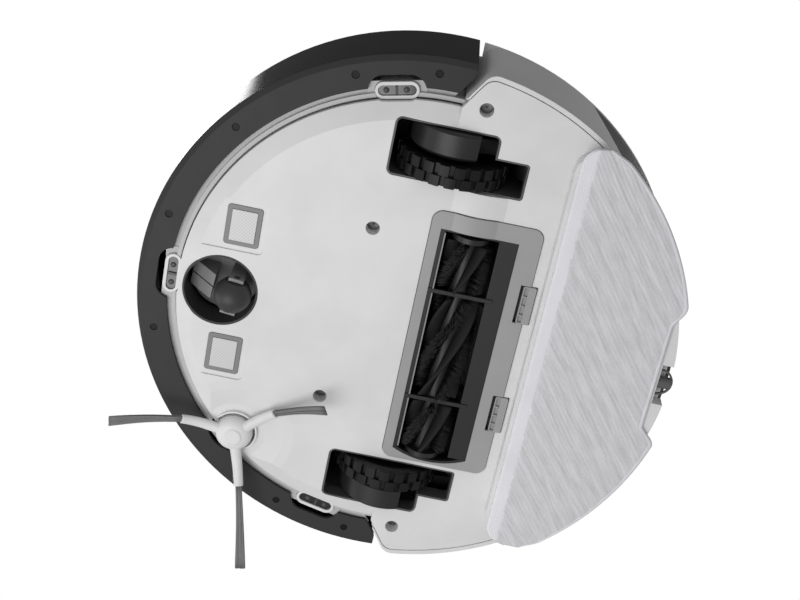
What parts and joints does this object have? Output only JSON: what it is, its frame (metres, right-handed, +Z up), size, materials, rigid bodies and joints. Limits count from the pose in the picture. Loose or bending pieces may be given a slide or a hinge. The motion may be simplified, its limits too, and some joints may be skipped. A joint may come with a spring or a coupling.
{
  "type": "robot vacuum",
  "caption": "Round robot vacuum and mop: sprung bumper, drive wheels, caster, roller brush, side brush, pull-out dustbin and mop tank.",
  "frame": {"origin": "on the floor under the middle of the round body", "axes": "+Z up, -Y forwards to the bumper, +X to the robot's left"},
  "size_m": [0.329, 0.3255, 0.0801],
  "materials": {
    "white_plastic": "fine satin, white",
    "frame_grey": "satin mid grey",
    "panel_grey": "satin silver grey, fine ribs",
    "gloss_black": "high gloss black",
    "ring_dark": "matt dark grey",
    "black_plastic": "satin black",
    "housing_grey": "satin dark grey",
    "screw_black": "black oxide",
    "cover_grey": "satin mid grey",
    "contact_metal": "brushed nickel plate",
    "sensor_dark": "dark infrared window",
    "steel": "zinc plated",
    "tyre_rubber": "matt black rubber",
    "smoke_grey": "smoky dark grey",
    "filter_paper": "pleated white paper",
    "mop_cloth": "light grey microfibre",
    "pale_rubber": "pale grey rubber",
    "soft_rubber": "soft grey rubber",
    "black_bristle": "nylon bristles",
    "grey_bristle": "nylon bristles",
    "board_green": "circuit board",
    "battery_wrap": "shrink film",
    "motor_metal": "motor can"
  },
  "bodies": {
    "chassis": {"bottom_plate": "white_plastic", "bottom_screws": "screw_black", "side_panels": "panel_grey", "wheel_housings": "housing_grey", "suspension_pins": "steel", "middle_frame": "frame_grey", "lower_lip": "white_plastic", "top_cover": "white_plastic", "top_panel": "gloss_black", "infrared_window": "sensor_dark", "bumper_switches": "black_plastic", "bumper_springs": "steel", "cliff_sensor_bezels": "white_plastic", "cliff_sensor_windows": "sensor_dark", "charging_frames": "cover_grey", "charging_contacts": "contact_metal", "caster_socket": "black_plastic", "side_brush_motor": "motor_metal", "brush_chamber": "black_plastic", "brush_gearbox": "black_plastic", "brush_motor": "motor_metal", "battery_pack": "battery_wrap", "circuit_boards": "board_green", "fan_housing": "black_plastic", "fan_motor": "motor_metal", "left_wheel_spring": "steel", "right_wheel_spring": "steel"},
    "bumper": {"bumper_shell": "gloss_black", "bumper_ring": "ring_dark", "bumper_screws": "screw_black"},
    "left_suspension": {"left_drive_unit": "black_plastic"},
    "right_suspension": {"right_drive_unit": "black_plastic"},
    "left_wheel": {"left_wheel_hub": "black_plastic", "left_wheel_tyre": "tyre_rubber"},
    "right_wheel": {"right_wheel_hub": "black_plastic", "right_wheel_tyre": "tyre_rubber"},
    "caster_swivel": {"caster_fork": "housing_grey", "caster_axle": "steel"},
    "caster_roller": {"caster_wheel": "gloss_black"},
    "side_brush": {"side_brush_hub": "white_plastic", "side_brush_bristles": "grey_bristle", "side_brush_cap": "white_plastic"},
    "cover": {"brush_cover": "cover_grey", "brush_guard": "black_plastic", "wiper_strip": "pale_rubber"},
    "left_latch": {"left_cover_latch": "cover_grey"},
    "right_latch": {"right_cover_latch": "cover_grey"},
    "main_brush": {"main_brush_core": "black_plastic", "main_brush_bristles": "black_bristle", "main_brush_caps": "black_plastic"},
    "dustbin": {"dustbin_body": "smoke_grey", "dustbin_lid": "smoke_grey", "dust_filter": "filter_paper"},
    "bin_button": {"bin_release_button": "smoke_grey"},
    "mop_module": {"water_tank": "white_plastic", "mop_pad": "mop_cloth"},
    "plug": {"tank_plug": "soft_rubber"},
    "power_key": {"power_button": "white_plastic"},
    "home_key": {"home_button": "white_plastic"},
    "fan_rotor": {"fan_impeller": "frame_grey"}
  },
  "joints": [
    {"name": "bumper_press", "type": "slide", "parent": "chassis", "child": "bumper", "axis": [0, 1, 0], "range_m": [0, 0.0025], "stiffness_N_per_m": 700, "springref_m": -0.003},
    {"name": "left_suspension_drop", "type": "hinge", "parent": "chassis", "child": "left_suspension", "pos_m": [0.12, 0.041, 0.04], "axis": [1, 0, 0], "range_deg": [0, 16], "stiffness_Nm_per_rad": 0.15, "springref_deg": 68.75, "deforming": ["left_wheel_spring"]},
    {"name": "left_wheel_spin", "type": "hinge", "parent": "left_suspension", "child": "left_wheel", "pos_m": [0.10105, 0.0075, 0.0325], "axis": [1, 0, 0], "continuous": true},
    {"name": "right_suspension_drop", "type": "hinge", "parent": "chassis", "child": "right_suspension", "pos_m": [-0.12, 0.041, 0.04], "axis": [1, 0, 0], "range_deg": [0, 16], "stiffness_Nm_per_rad": 0.15, "springref_deg": 68.75, "deforming": ["right_wheel_spring"]},
    {"name": "right_wheel_spin", "type": "hinge", "parent": "right_suspension", "child": "right_wheel", "pos_m": [-0.10105, 0.0075, 0.0325], "axis": [1, 0, 0], "continuous": true},
    {"name": "caster_swivel_turn", "type": "hinge", "parent": "chassis", "child": "caster_swivel", "pos_m": [-0.0009, -0.1114, 0.03], "axis": [0, 0, 1], "continuous": true},
    {"name": "caster_roll", "type": "hinge", "parent": "caster_swivel", "child": "caster_roller", "pos_m": [-0.00174, -0.10344, 0.0114], "axis": [0.9945, 0.1045, 0], "continuous": true},
    {"name": "side_brush_spin", "type": "hinge", "parent": "chassis", "child": "side_brush", "pos_m": [-0.0956, -0.0893, 0.012], "axis": [0, 0, 1], "continuous": true},
    {"name": "main_brush_spin", "type": "hinge", "parent": "chassis", "child": "main_brush", "pos_m": [0, 0.0272, 0.019], "axis": [1, 0, 0], "continuous": true},
    {"name": "cover_lift_off", "type": "slide", "parent": "chassis", "child": "cover", "axis": [0, 0, -1], "range_m": [0, 0.03]},
    {"name": "left_latch_press", "type": "slide", "parent": "cover", "child": "left_latch", "axis": [0, -1, 0], "range_m": [0, 0.0015], "stiffness_N_per_m": 900, "springref_m": -0.001},
    {"name": "right_latch_press", "type": "slide", "parent": "cover", "child": "right_latch", "axis": [0, -1, 0], "range_m": [0, 0.0015], "stiffness_N_per_m": 900, "springref_m": -0.001},
    {"name": "dustbin_pull", "type": "slide", "parent": "chassis", "child": "dustbin", "axis": [0, 1, 0], "range_m": [0, 0.09]},
    {"name": "bin_button_press", "type": "slide", "parent": "dustbin", "child": "bin_button", "axis": [0, -1, 0], "range_m": [0, 0.002], "stiffness_N_per_m": 900, "springref_m": -0.001},
    {"name": "mop_pull", "type": "slide", "parent": "chassis", "child": "mop_module", "axis": [0, 1, 0], "range_m": [0, 0.1]},
    {"name": "plug_pull", "type": "slide", "parent": "mop_module", "child": "plug", "axis": [0, 1, 0], "range_m": [0, 0.008]},
    {"name": "power_button_press", "type": "slide", "parent": "chassis", "child": "power_key", "axis": [0, 0, -1], "range_m": [0, 0.0008], "stiffness_N_per_m": 900, "springref_m": -0.001},
    {"name": "home_button_press", "type": "slide", "parent": "chassis", "child": "home_key", "axis": [0, 0, -1], "range_m": [0, 0.0008], "stiffness_N_per_m": 900, "springref_m": -0.001},
    {"name": "fan_spin", "type": "hinge", "parent": "chassis", "child": "fan_rotor", "pos_m": [-0.047, 0.036, 0.06], "axis": [0, 0, 1], "continuous": true}
  ]
}
